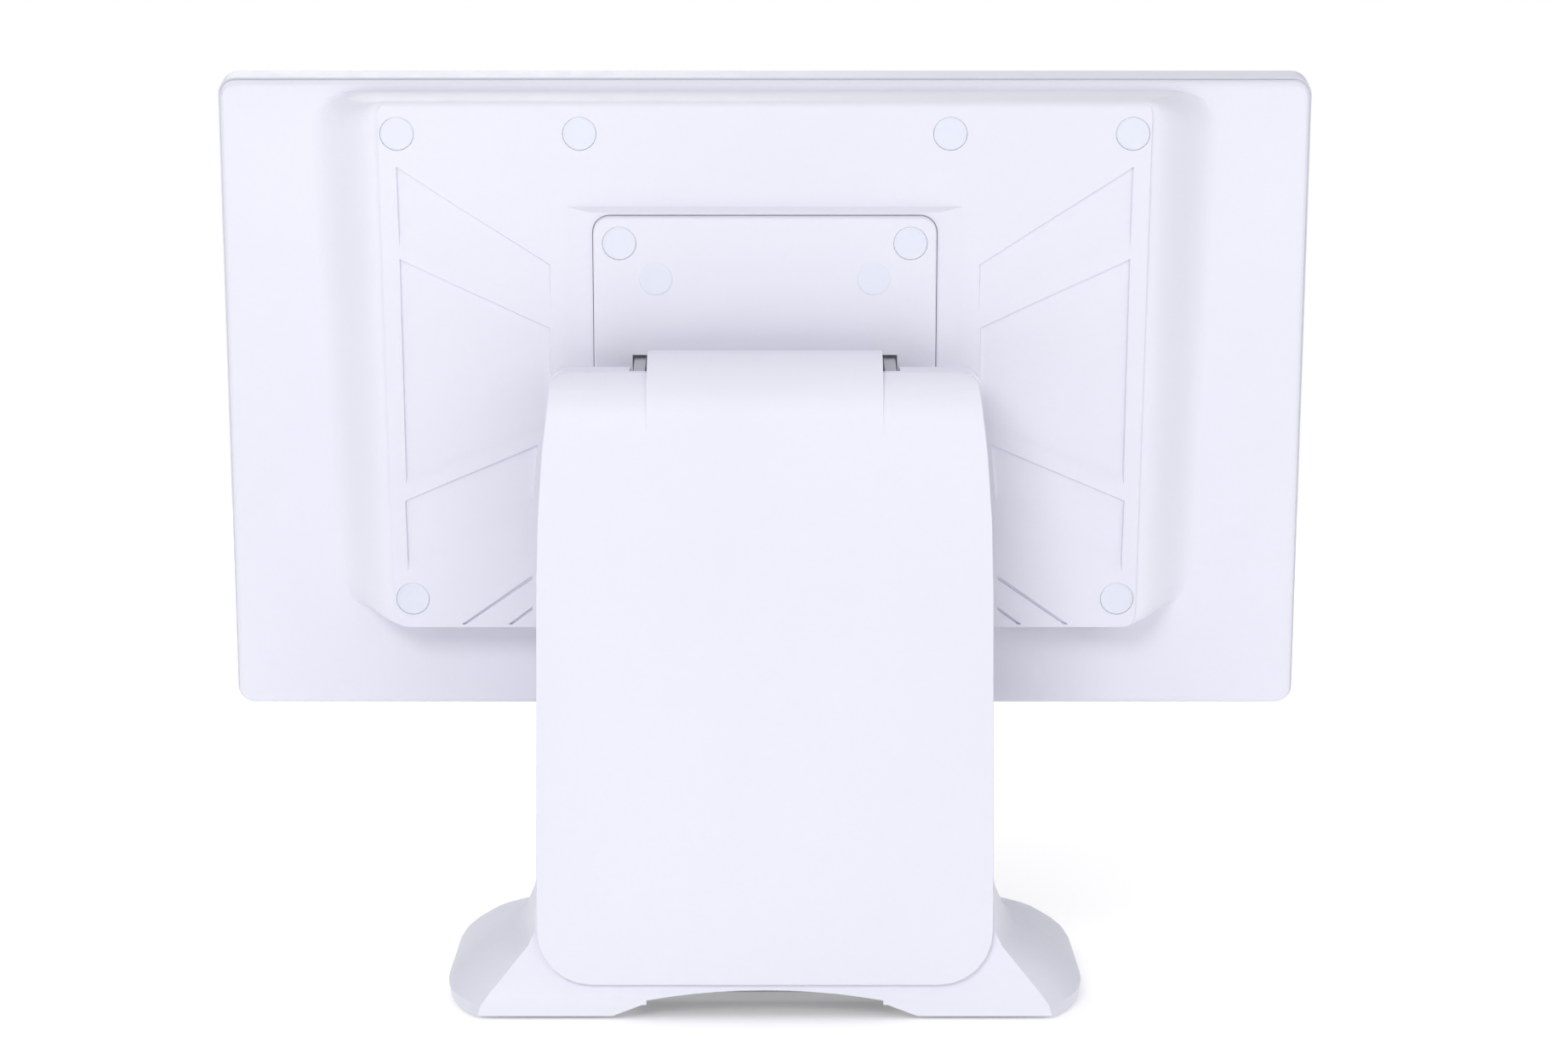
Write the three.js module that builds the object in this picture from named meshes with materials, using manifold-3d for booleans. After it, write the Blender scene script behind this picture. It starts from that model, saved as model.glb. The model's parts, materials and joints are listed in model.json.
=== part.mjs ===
// Point-of-sale touchscreen terminal: a 15.6 inch touch display with its computer built in, on a tilt
// hinge at the top of a column stand. Millimetres, +Z up, the screen faces -Y, origin on the table.

import * as THREE from 'three';
import { mergeVertices } from 'three/addons/utils/BufferGeometryUtils.js';
import Module from 'manifold-3d';

const wasm = await Module();
wasm.setup();

// ---------------------------------------------------------------- driving dimensions

const GAP = 0.3; // clearance between neighbouring pieces
const WALL = 2.5; // moulded covers

// Stand, in its own frame: y = 0 is the rear edge of the base and the front is negative.
const BASE_DEPTH = 165;
const SKIRT_Z = 0.9; // lower edge of the base cover
const PANEL_BOTTOM = 11; // lower edge of the column's rear cover
const COLUMN_HALF = 77.7;
const COLUMN_TOP = 217;
const COLUMN_LEAN = Math.tan(THREE.MathUtils.degToRad(5.6)); // the rear face leans to the front
const COLUMN_FRONT = -58;
const REAR_COVER_DEPTH = 12;
const NECK_HALF = 40;
const SPINE_Y = -46; // front face of the steel upright
const ARM_INNER = 41; // head bracket arms, beside the neck
const ARM_OUTER = 45;

// Tilt hinge.
const LEAN = THREE.MathUtils.degToRad(10.5); // display lean at rest
const HINGE_Y = -45.5;
const HINGE_Z = 206.3;
const NECK_RADIUS = 16.5;
const BARREL_RADIUS = 9;
const SHAFT_RADIUS = 4;

// Display, in its own frame: y = 0 is the flat of the rear cover, z = 0 the middle of the screen.
const SCREEN_HALF_W = 189.5;
const SCREEN_HALF_H = 114.25;
const SCREEN_CORNER = 6;
const FRONT_Y = -17;
const SPLIT_Y = -3.4; // front edge of the rear cover
const SEAM = 0.8; // shadow gap between front frame and rear cover
const COVER_INSET = 0.8; // the rear cover sits just inside the frame's outline
const BULGE_Y = 20;
const BULGE_TOP = 110.5;
const BULGE_BOTTOM = -78;
const BULGE_HALF = 131.5;
const AXIS_Y = 45; // hinge axis seen from the display
const AXIS_Z = 12.5; // also the centre of the VESA pattern
const VESA = 50; // half of VESA 100
const VESA_SMALL = 37.5; // half of VESA 75
const PAD_HALF = 59;
const PAD_Y = 26.3;
const TIER_HALF = 68.5;
const TIER_Y = 23;
const CAP_RADIUS = 5.6;
const BOARD_Y = 0.4; // rear face of the mainboard
const BOARD_THICKNESS = 1.6;

// ---------------------------------------------------------------- materials

const material = (color, roughness, metalness = 0) =>
  new THREE.MeshStandardMaterial({ color, roughness, metalness });
const HOUSING = material(0xe9e9ef, 0.5);
const HOUSING_SHADE = material(0xdcdce2, 0.55);
const STEEL = material(0x9a9c9f, 0.4, 0.9);
const DARK_STEEL = material(0x3a3b3e, 0.5, 0.8);
const ALUMINIUM = material(0xb9bbbd, 0.45, 0.85);
const RUBBER = material(0x26272a, 0.9);
const BLACK_PLASTIC = material(0x202124, 0.6);
const BOARD_GREEN = material(0x1f4a34, 0.6);
const SCREEN_GLASS = material(0x0b0c0e, 0.08);
const PANEL = material(0x17181b, 0.35);

// ---------------------------------------------------------------- solids

const WELD = 1e-4;

function solid(geometry) {
  const bare = geometry.clone();
  bare.deleteAttribute('normal');
  bare.deleteAttribute('uv');
  const welded = mergeVertices(bare, WELD);
  const vertProperties = new Float32Array(welded.attributes.position.array);
  const triVerts = new Uint32Array(welded.index.array);
  return new wasm.Manifold(new wasm.Mesh({ numProp: 3, vertProperties, triVerts }));
}

function geometryOf(shape) {
  const mesh = shape.getMesh();
  const geometry = new THREE.BufferGeometry();
  geometry.setAttribute('position', new THREE.BufferAttribute(mesh.vertProperties, 3));
  geometry.setIndex(new THREE.BufferAttribute(mesh.triVerts, 1));
  geometry.computeVertexNormals();
  return geometry;
}

const join = (...solids) => solids.reduce((all, next) => all.add(next));
const cut = (body, ...tools) => tools.reduce((rest, tool) => rest.subtract(tool), body);

function block(x0, x1, y0, y1, z0, z1) {
  const geometry = new THREE.BoxGeometry(x1 - x0, y1 - y0, z1 - z0);
  geometry.translate((x0 + x1) / 2, (y0 + y1) / 2, (z0 + z1) / 2);
  return solid(geometry);
}

// A cylinder along X, from x0 to x1.
function rodX(radius, x0, x1, y, z, segments = 24) {
  const geometry = new THREE.CylinderGeometry(radius, radius, x1 - x0, segments);
  geometry.rotateZ(Math.PI / 2);
  geometry.translate((x0 + x1) / 2, y, z);
  return solid(geometry);
}

// A cylinder along Y, from y0 to y1.
function rodY(radius, x, y0, y1, z, segments = 20) {
  const geometry = new THREE.CylinderGeometry(radius, radius, y1 - y0, segments);
  geometry.translate(x, (y0 + y1) / 2, z);
  return solid(geometry);
}

// A cylinder along Z, from z0 to z1.
function rodZ(radius, x, y, z0, z1, segments = 16) {
  const geometry = new THREE.CylinderGeometry(radius, radius, z1 - z0, segments);
  geometry.rotateX(Math.PI / 2);
  geometry.translate(x, y, (z0 + z1) / 2);
  return solid(geometry);
}

const ALONG_X = new THREE.Matrix4().makeBasis(
  new THREE.Vector3(0, 1, 0), new THREE.Vector3(0, 0, 1), new THREE.Vector3(1, 0, 0));

// A side outline in (y, z), extruded along X.
function prismX(shape, x0, x1, curveSegments = 6) {
  const geometry = new THREE.ExtrudeGeometry(shape, { depth: x1 - x0, bevelEnabled: false, curveSegments });
  geometry.applyMatrix4(ALONG_X);
  geometry.translate(x0, 0, 0);
  return solid(geometry);
}

// An outline in (x, z), extruded along Y.
function prismY(shape, y0, y1, curveSegments = 3) {
  const geometry = new THREE.ExtrudeGeometry(shape, { depth: y1 - y0, bevelEnabled: false, curveSegments });
  geometry.rotateX(Math.PI / 2);
  geometry.translate(0, y1, 0);
  return solid(geometry);
}

// An outline in (x, y), extruded along Z.
function prismZ(shape, z0, z1, curveSegments = 3) {
  const geometry = new THREE.ExtrudeGeometry(shape, { depth: z1 - z0, bevelEnabled: false, curveSegments });
  geometry.translate(0, 0, z0);
  return solid(geometry);
}

// As prismY, with the edge at y1 rounded, or the edge at y0 where atFront is set.
function softPrismY(shape, y0, y1, radius, atFront = false) {
  const long = y1 - y0 + radius;
  const geometry = new THREE.ExtrudeGeometry(shape, {
    depth: long - radius,
    bevelThickness: radius,
    bevelSize: radius,
    bevelOffset: -radius,
    bevelSegments: 3,
    curveSegments: 3,
  });
  geometry.rotateX(Math.PI / 2);
  geometry.translate(0, atFront ? y0 + long : y1 - radius, 0);
  const far = 2 * SCREEN_HALF_W;
  return solid(geometry).intersect(block(-far, far, y0, y1, -far, far));
}

function roundedRect(x0, x1, z0, z1, radius) {
  const shape = new THREE.Shape();
  shape.moveTo(x0 + radius, z0);
  shape.lineTo(x1 - radius, z0);
  shape.absarc(x1 - radius, z0 + radius, radius, -Math.PI / 2, 0);
  shape.lineTo(x1, z1 - radius);
  shape.absarc(x1 - radius, z1 - radius, radius, 0, Math.PI / 2);
  shape.lineTo(x0 + radius, z1);
  shape.absarc(x0 + radius, z1 - radius, radius, Math.PI / 2, Math.PI);
  shape.lineTo(x0, z0 + radius);
  shape.absarc(x0 + radius, z0 + radius, radius, Math.PI, 1.5 * Math.PI);
  return shape;
}

const polygon = (points) => new THREE.Shape(points.map(([a, b]) => new THREE.Vector2(a, b)));

// A closed skin over outlines in (x, y) of equal point counts, one above the other along Z.
function loftGeometry(levels) {
  const count = levels[0].points.length;
  const positions = levels.flatMap(({ z, points }) => points.flatMap((p) => [p.x, p.y, z]));
  const index = [];
  for (let level = 0; level + 1 < levels.length; level += 1) {
    for (let i = 0; i < count; i += 1) {
      const a = level * count + i;
      const b = level * count + ((i + 1) % count);
      index.push(a, b, b + count, a, b + count, a + count);
    }
  }
  const top = (levels.length - 1) * count;
  THREE.ShapeUtils.triangulateShape(levels[0].points, []).forEach(([a, b, c]) => index.push(c, b, a));
  THREE.ShapeUtils.triangulateShape(levels.at(-1).points, [])
    .forEach(([a, b, c]) => index.push(top + a, top + b, top + c));
  const geometry = new THREE.BufferGeometry();
  geometry.setAttribute('position', new THREE.BufferAttribute(new Float32Array(positions), 3));
  geometry.setIndex(index);
  return geometry;
}

const loftZ = (levels) => solid(loftGeometry(levels));

// The same over outlines in (x, z), from the rear to the front.
function loftY(levels) {
  const geometry = loftGeometry(levels.map(({ y, points }) => ({ z: -y, points })));
  geometry.rotateX(Math.PI / 2);
  return solid(geometry);
}

const part = new THREE.Group();
const stand = new THREE.Group();
const head = new THREE.Group();
const display = new THREE.Group();
stand.position.y = BASE_DEPTH / 2;
head.position.set(0, HINGE_Y, HINGE_Z);
head.rotation.x = -LEAN;
display.position.set(0, -AXIS_Y, -AXIS_Z);
part.add(stand);
stand.add(head);
head.add(display);

function add(group, name, shape, look) {
  const mesh = new THREE.Mesh(geometryOf(shape), look);
  mesh.name = name;
  group.add(mesh);
}

const SIDES = [['left', -1], ['right', 1]];
const mirrorX = (x0, x1, side) => (side > 0 ? [x0, x1] : [-x1, -x0]);

// ---------------------------------------------------------------- base

// Plan outlines of the base cover, upwards: height, half length of the flat rear wall, half width,
// rear edge, front edge and front corner radius.
const BASE_LEVELS = [
  [SKIRT_Z, 97, 109, 0, -164, 50],
  [4.5, 96, 110, -0.6, -BASE_DEPTH, 50],
  [8, 93.3, 108, -2, -163, 50],
  [12, 90, 104, -3.2, -158, 50],
  [16, 86.7, 99, -3.7, -149, 48],
  [20, 83.5, 92.5, -4.1, -132, 44],
  [24, 80.2, 86.5, -4.5, -102, 34],
  [29, 77.9, 83, -5, -74, 20],
  [36, 77.5, 80, -5.7, -63, 12],
  [42, 77.2, 78.6, -6.3, -60, 9],
];
const SIDE_STRAIGHT = -55; // where the base is widest
const COLLAR_TOP = 42;

function basePlan([, flat, half, rear, front, radius], inset) {
  const side = half - inset;
  const nearEdge = front + inset;
  const farEdge = rear - inset;
  const corner = new THREE.EllipseCurve(side - radius, nearEdge + radius, radius, radius, -Math.PI / 2, 0);
  const widest = Math.max(SIDE_STRAIGHT, nearEdge + radius + 1);
  const sweep = new THREE.QuadraticBezierCurve(
    new THREE.Vector2(side, widest),
    new THREE.Vector2(side, farEdge + (widest - farEdge) / 3),
    new THREE.Vector2(flat - inset, farEdge),
  );
  const right = [...corner.getPoints(9), ...sweep.getPoints(8)];
  const left = right.map((p) => new THREE.Vector2(-p.x, p.y)).reverse();
  return [...right, ...left];
}

const baseSolid = (inset, drop = 0) =>
  loftZ(BASE_LEVELS.map((level) => ({ z: level[0] - drop, points: basePlan(level, inset) })));

const BASE_WALL = 2.2;
const ARCH_STEP = 4.6; // the cable arch: a wide slot in the skirt, then a low arch above it
const ARCH_TOP = 9.3;
const ARCH_HALF = 40;
const archShape = new THREE.Shape();
archShape.moveTo(-ARCH_HALF, SKIRT_Z);
archShape.lineTo(ARCH_HALF, SKIRT_Z);
archShape.lineTo(ARCH_HALF, 6);
archShape.quadraticCurveTo(0, 2 * ARCH_TOP - 6, -ARCH_HALF, 6);
const cableArch = prismY(archShape, -14, 2, 10);
const SLOT_HALF = 54; // at the table; the slot's ends slope in
const skirtSlot = prismY(polygon([
  [-SLOT_HALF, 0],
  [SLOT_HALF, 0],
  [ARCH_HALF + 1.5, ARCH_STEP],
  [-ARCH_HALF - 1.5, ARCH_STEP],
]), -8, 2);

const PLATE_Z = 2.8;
const PLATE_TOP = 5.8;
const plateShape = new THREE.Shape(basePlan(BASE_LEVELS[1], 5.5));
const NOTCH_DEPTH = 30; // cable notch in the rear of the base plate
const basePlate = cut(prismZ(plateShape, PLATE_Z, PLATE_TOP), block(-44, 44, -NOTCH_DEPTH, 2, 0, 10));
add(stand, 'base_plate', basePlate, STEEL);

const columnBore = block(-70, 70, -53, -10, 15, COLLAR_TOP + 2);
const baseCover = cut(baseSolid(0), baseSolid(BASE_WALL, BASE_WALL), columnBore, cableArch, skirtSlot);
add(stand, 'base_cover', baseCover, HOUSING);

const FOOT = { length: 34, depth: 10, corner: 3 };
const FOOT_SPOTS = [['rear', 54, -18], ['front', 40, -140]];
for (const [sideName, side] of SIDES) {
  for (const [endName, x, y] of FOOT_SPOTS) {
    const [x0, x1] = mirrorX(x, x + FOOT.length, side);
    const foot = prismZ(roundedRect(x0, x1, y, y + FOOT.depth, FOOT.corner), 0, PLATE_Z - GAP);
    add(stand, `rubber_foot_${endName}_${sideName}`, foot, RUBBER);
  }
}

// ---------------------------------------------------------------- column

const rearY = (z) => -(z - PANEL_BOTTOM) * COLUMN_LEAN;

// Rear view outline of the column in (x, z).
function columnFace(inset) {
  const half = COLUMN_HALF - inset;
  const low = PANEL_BOTTOM + inset;
  const top = COLUMN_TOP - inset;
  const radius = 19 - inset;
  const taper = 4.3; // the column narrows by this much each side towards its top
  const shape = new THREE.Shape();
  shape.moveTo(radius - half, low);
  shape.lineTo(half - radius, low);
  shape.absarc(half - radius, low + radius, radius, -Math.PI / 2, 0);
  shape.lineTo(half, 142);
  shape.quadraticCurveTo(half, 180, half - taper, top - 6);
  shape.quadraticCurveTo(half - taper, top, half - taper - 6, top);
  shape.lineTo(taper + 6 - half, top);
  shape.quadraticCurveTo(taper - half, top, taper - half, top - 6);
  shape.quadraticCurveTo(-half, 180, -half, 142);
  shape.lineTo(-half, low + radius);
  shape.absarc(radius - half, low + radius, radius, Math.PI, 1.5 * Math.PI);
  return shape;
}

// Side outline of the column in (y, z), with its top edge rolled to the front.
function columnSide(inset) {
  const top = COLUMN_TOP - inset;
  const shape = new THREE.Shape();
  shape.moveTo(COLUMN_FRONT + inset, PANEL_BOTTOM + inset);
  shape.lineTo(rearY(PANEL_BOTTOM) - inset, PANEL_BOTTOM + inset);
  shape.lineTo(rearY(196) - inset, 196);
  shape.quadraticCurveTo(rearY(214) - inset, top - 1, rearY(196) - 18, top);
  shape.lineTo(-48, top);
  shape.quadraticCurveTo(-53 + inset, top, -53 + inset, top - 6);
  return shape;
}

const columnPlan = (inset) => roundedRect(
  inset - COLUMN_HALF, COLUMN_HALF - inset, COLUMN_FRONT + inset, 10, 8 - inset);

const columnSolid = (inset) => prismX(columnSide(inset), -COLUMN_HALF, COLUMN_HALF)
  .intersect(prismY(columnFace(inset), COLUMN_FRONT - 1, 2))
  .intersect(prismZ(columnPlan(inset), 0, 240));

// Side outline of the neck: the column's rear face carried up and over the hinge.
function neckSide(inset) {
  const radius = NECK_RADIUS - inset;
  const shape = new THREE.Shape();
  shape.moveTo(HINGE_Y - radius, 190);
  shape.lineTo(rearY(190) - inset, 190);
  shape.lineTo(rearY(200) - inset, 200);
  shape.bezierCurveTo(rearY(214) - inset, 214, -30 - inset, HINGE_Z + radius, HINGE_Y + 2, HINGE_Z + radius);
  shape.lineTo(HINGE_Y, HINGE_Z + radius);
  shape.absarc(HINGE_Y, HINGE_Z, radius, Math.PI / 2, Math.PI);
  return shape;
}

const rearSlice = prismX(polygon([
  [rearY(0) - REAR_COVER_DEPTH, 0],
  [4, 0],
  [4, 240],
  [rearY(240) - REAR_COVER_DEPTH, 240],
]), -100, 100);
const frontSlice = prismX(polygon([
  [-100, 0],
  [rearY(0) - REAR_COVER_DEPTH - GAP, 0],
  [rearY(240) - REAR_COVER_DEPTH - GAP, 240],
  [-100, 240],
]), -100, 100);

const baseClearance = baseSolid(-GAP);
const armSlots = SIDES.map(([, side]) => block(
  ...mirrorX(NECK_HALF + 0.3, ARM_OUTER + 1, side), -80, HINGE_Y + 11.5, HINGE_Z - 12.5, 240));
const shaftBore = rodX(SHAFT_RADIUS + GAP, -60, 60, HINGE_Y, HINGE_Z);
const columnShell = cut(columnSolid(0), columnSolid(WALL));
const neckOuter = prismX(neckSide(0), -NECK_HALF, NECK_HALF, 12);
const neckInner = prismX(neckSide(WALL), WALL - NECK_HALF, NECK_HALF - WALL, 12)
  .subtract(block(-50, 50, -90, 0, 180, 190 + WALL));
const neckOpening = block(WALL - NECK_HALF, NECK_HALF - WALL, -52.5, rearY(190) - WALL, 184, 204);
const PANEL_INSET = 0.7; // the rear cover sits just inside the column's sides
const NECK_SPLIT = HINGE_Y;

const neckShell = cut(neckOuter, neckInner, neckOpening);
const behindSplit = block(-100, 100, NECK_SPLIT, 20, 0, 240);
const aheadOfSplit = block(-100, 100, -100, NECK_SPLIT - GAP, 0, 240);
const rearPanel = cut(columnShell.intersect(rearSlice), neckOuter)
  .intersect(prismY(columnFace(PANEL_INSET), -80, 4));
const columnRearCover = cut(
  join(rearPanel, neckShell.intersect(behindSplit)),
  neckOpening, baseClearance, shaftBore, ...armSlots);
add(stand, 'column_rear_cover', columnRearCover, HOUSING);

// Leads from the display's connectors enter the column through a window in its front.
const cableWindow = block(-24, 24, -70, SPINE_Y + 5, 96, 132);
const neckClearance = block(-NECK_HALF - GAP, NECK_HALF + GAP, -90, 0, 190 - GAP, 240);
const columnFrontCover = cut(
  columnShell.intersect(frontSlice), baseClearance, neckClearance, cableWindow, shaftBore, ...armSlots);
add(stand, 'column_front_cover', columnFrontCover, HOUSING);

add(stand, 'neck_front_cover', cut(neckShell.intersect(aheadOfSplit), shaftBore), HOUSING);

// ---------------------------------------------------------------- steel upright and hinge bracket

const SPINE_TOP = 178;
const SPINE_FOOT_Z = PLATE_TOP + GAP;
const spine = join(
  block(-30, 30, SPINE_Y, SPINE_Y + 3, SPINE_FOOT_Z, SPINE_TOP),
  block(-30, -27, SPINE_Y, SPINE_Y + 16, SPINE_FOOT_Z, SPINE_TOP),
  block(27, 30, SPINE_Y, SPINE_Y + 16, SPINE_FOOT_Z, SPINE_TOP),
  block(-62, 62, -52, -32, SPINE_FOOT_Z, SPINE_FOOT_Z + 3),
);
const SCREW_SPOTS = [-52, -38, 38, 52];
const spineHoles = SCREW_SPOTS.map((x) => rodZ(2.3, x, -40, 0, 20));
add(stand, 'column_spine', cut(spine, cableWindow, ...spineHoles), STEEL);

SCREW_SPOTS.forEach((x, i) => {
  const head0 = SPINE_FOOT_Z + 3 + GAP;
  const screw = join(rodZ(3.6, x, -40, head0, head0 + 2.4), rodZ(1.9, x, -40, PLATE_TOP + GAP, head0 + 1));
  add(stand, `spine_screw_${i + 1}`, screw, DARK_STEEL);
});

const CHEEK = { inner: 28, outer: 33, radius: 12.6 };
const cheekShape = new THREE.Shape();
cheekShape.moveTo(HINGE_Y - 5, 182);
cheekShape.lineTo(HINGE_Y + 12, 182);
cheekShape.lineTo(HINGE_Y + CHEEK.radius, HINGE_Z);
cheekShape.absarc(HINGE_Y, HINGE_Z, CHEEK.radius, 0, Math.PI);
cheekShape.lineTo(HINGE_Y - 5, 193);
const saddle = join(
  prismX(cheekShape, CHEEK.inner, CHEEK.outer),
  prismX(cheekShape, -CHEEK.outer, -CHEEK.inner),
  block(-CHEEK.outer, CHEEK.outer, HINGE_Y - 5, HINGE_Y + 12, SPINE_TOP + GAP, SPINE_TOP + 4),
);
const barrelSeat = rodX(BARREL_RADIUS + GAP, -50, 50, HINGE_Y, HINGE_Z);
add(stand, 'hinge_bracket', cut(saddle, barrelSeat), STEEL);

const BARREL = { inner: 12, outer: 37 };
for (const [sideName, side] of SIDES) {
  const [x0, x1] = mirrorX(BARREL.inner, BARREL.outer, side);
  const barrel = cut(rodX(BARREL_RADIUS, x0, x1, HINGE_Y, HINGE_Z), shaftBore);
  add(stand, `hinge_barrel_${sideName}`, barrel, DARK_STEEL);
}

// ---------------------------------------------------------------- display housing

const centred = (halfW, halfH, radius) => roundedRect(-halfW, halfW, -halfH, halfH, radius);
const screenOutline = (inset) => centred(SCREEN_HALF_W - inset, SCREEN_HALF_H - inset, SCREEN_CORNER - inset);
const aroundAxis = (half, radius) => roundedRect(-half, half, AXIS_Z - half, AXIS_Z + half, radius);

const BUTTON = { x: 150, halfW: 6, y0: -10.5, y1: -6.7, travel: 0.8 };
const buttonHole = block(
  BUTTON.x - BUTTON.halfW - GAP, BUTTON.x + BUTTON.halfW + GAP,
  BUTTON.y0 - GAP, BUTTON.y1 + GAP, -SCREEN_HALF_H - 1, -SCREEN_HALF_H + WALL + 1);

// Front frame: a thin wall round the display, with a ledge and a rebate for the glass.
const GLASS = { halfW: 186.5, halfH: 111.25, corner: 4.5, thickness: 1.8 };
const LEDGE_Y = FRONT_Y + GLASS.thickness + GAP;
const LEDGE_DEPTH = 1.5;
const frontFrame = cut(
  softPrismY(screenOutline(0), FRONT_Y, SPLIT_Y - SEAM, 1, true),
  prismY(centred(GLASS.halfW + GAP, GLASS.halfH + GAP, GLASS.corner), FRONT_Y - 1, LEDGE_Y),
  prismY(centred(181, 105, 2), FRONT_Y, 0),
  prismY(screenOutline(WALL), LEDGE_Y + LEDGE_DEPTH, 0),
  buttonHole,
);
add(display, 'front_frame', frontFrame, HOUSING);

const glass = prismY(centred(GLASS.halfW, GLASS.halfH, GLASS.corner), FRONT_Y, FRONT_Y + GLASS.thickness);
add(display, 'touch_glass', glass, SCREEN_GLASS);

const GASKET_DEPTH = 0.6;
const gasket = cut(
  prismY(centred(179.5, 103, 2), LEDGE_Y, LEDGE_Y + GASKET_DEPTH),
  prismY(centred(173.5, 98.2, 1), LEDGE_Y - 1, LEDGE_Y + 1),
);
add(display, 'glass_gasket', gasket, BLACK_PLASTIC);

const panelY = LEDGE_Y + GASKET_DEPTH + GAP;
const PANEL_DEPTH = 5.2;
add(display, 'lcd_panel', prismY(centred(179.75, 103, 1), panelY, panelY + PANEL_DEPTH), PANEL);

const chassisY = panelY + PANEL_DEPTH + GAP;
const CHASSIS_TOP = chassisY + 1.2;
add(display, 'chassis_plate', prismY(centred(184, 106, 3), chassisY, CHASSIS_TOP), STEEL);

// Rear cover: the lip, the raised bulge with coved sides, and the sloped tier around the hinge pad.
// Rear view outline of a tapering panel with rounded corners.
function softTrapezoid(halfLow, halfHigh, z0, z1, radius) {
  const corners = [[-halfLow, z0], [halfLow, z0], [halfHigh, z1], [-halfHigh, z1]]
    .map(([x, z]) => new THREE.Vector2(x, z));
  return corners.flatMap((corner, i) => {
    const before = corners[(i + 3) % 4].clone().sub(corner).setLength(radius).add(corner);
    const after = corners[(i + 1) % 4].clone().sub(corner).setLength(radius).add(corner);
    return new THREE.QuadraticBezierCurve(before, corner, after).getPoints(5);
  });
}

// The bulge's sides sweep out in an S, from its back face at turn 0 to the flat cover at turn 1.
const COVE = { low: 22, high: 26, edge: 1.2, backCorner: 5, footCorner: 18, steps: 12 };
function bulgeLevel(turn, inset) {
  return softTrapezoid(
    BULGE_HALF - 1 + COVE.low * turn - inset, BULGE_HALF + 1 + COVE.high * turn - inset,
    BULGE_BOTTOM + inset, BULGE_TOP - inset,
    THREE.MathUtils.lerp(COVE.backCorner, COVE.footCorner, turn));
}

// The bulge over the flat cover, or its hollow, a wall thickness further in.
function bulgeBody(inset) {
  const levels = Array.from({ length: COVE.steps + 1 }, (_, i) => {
    const turn = i / COVE.steps;
    const y = (BULGE_Y - COVE.edge) * (1 + Math.cos(turn * Math.PI)) / 2;
    return { y: y - inset, points: bulgeLevel(turn, inset) };
  });
  const back = { y: BULGE_Y - inset, points: bulgeLevel(0, inset) };
  return loftY([back, ...levels, { y: -1 - inset, points: bulgeLevel(1, inset) }]);
}
const COVER_WALL = 3;
const TOP_ROUND = 3; // the bulge's upper edge
const bulgeSide = new THREE.Shape();
bulgeSide.moveTo(-2, BULGE_BOTTOM);
bulgeSide.lineTo(BULGE_Y, BULGE_BOTTOM);
bulgeSide.lineTo(BULGE_Y, BULGE_TOP - TOP_ROUND);
bulgeSide.absarc(BULGE_Y - TOP_ROUND, BULGE_TOP - TOP_ROUND, TOP_ROUND, 0, Math.PI / 2);
bulgeSide.lineTo(-2, BULGE_TOP);
const bulgeOuter = bulgeBody(0).intersect(prismX(bulgeSide, -SCREEN_HALF_W, SCREEN_HALF_W, 3));
const bulgeInner = bulgeBody(COVER_WALL);
const lipInner = prismY(screenOutline(COVER_INSET + WALL), SPLIT_Y - 1, -WALL);

// Chevron relief, one side: shallow pockets that taper towards the hinge pad. Each has a steep upper
// wall and a long slope along its lower border. Corners: upper outer, upper inner, lower inner, lower
// outer, then how far the slope of the lower border runs at its outer and inner ends.
const RELIEF = 1.2;
const POCKETS = [
  [[126.5, 88], [74, 53.5], [74, 37], [126, 59.5], 5, 8],
  [[126, 55.5], [74.5, 31], [74.5, -4], [125.5, -25.5], 3, 3],
  [[126, -31.5], [79, -11], [81, -31.5], [125.5, -57.5], 4, 4],
];
const GROOVES = [
  [[107, -77], [105.5, -77], [82, -60.5], [82, -59]],
  [[90.5, -77], [89, -77], [82, -71.6], [82, -70.4]],
];
const ABOVE = 0.6; // how far a cutter stands out of the surface that it cuts
const onSide = (side, points) => {
  const placed = points.map(([x, z]) => new THREE.Vector2(side * x, z));
  return THREE.ShapeUtils.isClockWise(placed) ? placed.reverse() : placed;
};
const pocket = (side, [upperOuter, upperInner, lowerInner, lowerOuter, runOuter, runInner]) => {
  const margin = 0.4; // the steep walls slope by this much
  const floor = [
    [upperOuter[0] - margin, upperOuter[1] - margin],
    [upperInner[0] + margin, upperInner[1] - margin],
    [lowerInner[0] + margin, lowerInner[1] + runInner],
    [lowerOuter[0] - margin, lowerOuter[1] + runOuter],
  ];
  const reach = 1 + ABOVE / RELIEF; // the walls are carried on above the surface
  const mouth = [upperOuter, upperInner, lowerInner, lowerOuter].map(([x, z], i) => [
    floor[i][0] + (x - floor[i][0]) * reach,
    floor[i][1] + (z - floor[i][1]) * reach,
  ]);
  return loftY([
    { y: BULGE_Y + ABOVE, points: onSide(side, mouth) },
    { y: BULGE_Y - RELIEF, points: onSide(side, floor) },
  ]);
};
const groove = (side, points) =>
  prismY(new THREE.Shape(onSide(side, points)), BULGE_Y - RELIEF, BULGE_Y + ABOVE);
const relief = SIDES.flatMap(([, side]) => [
  ...POCKETS.map((shape) => pocket(side, shape)),
  ...GROOVES.map((points) => groove(side, points)),
]);

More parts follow.
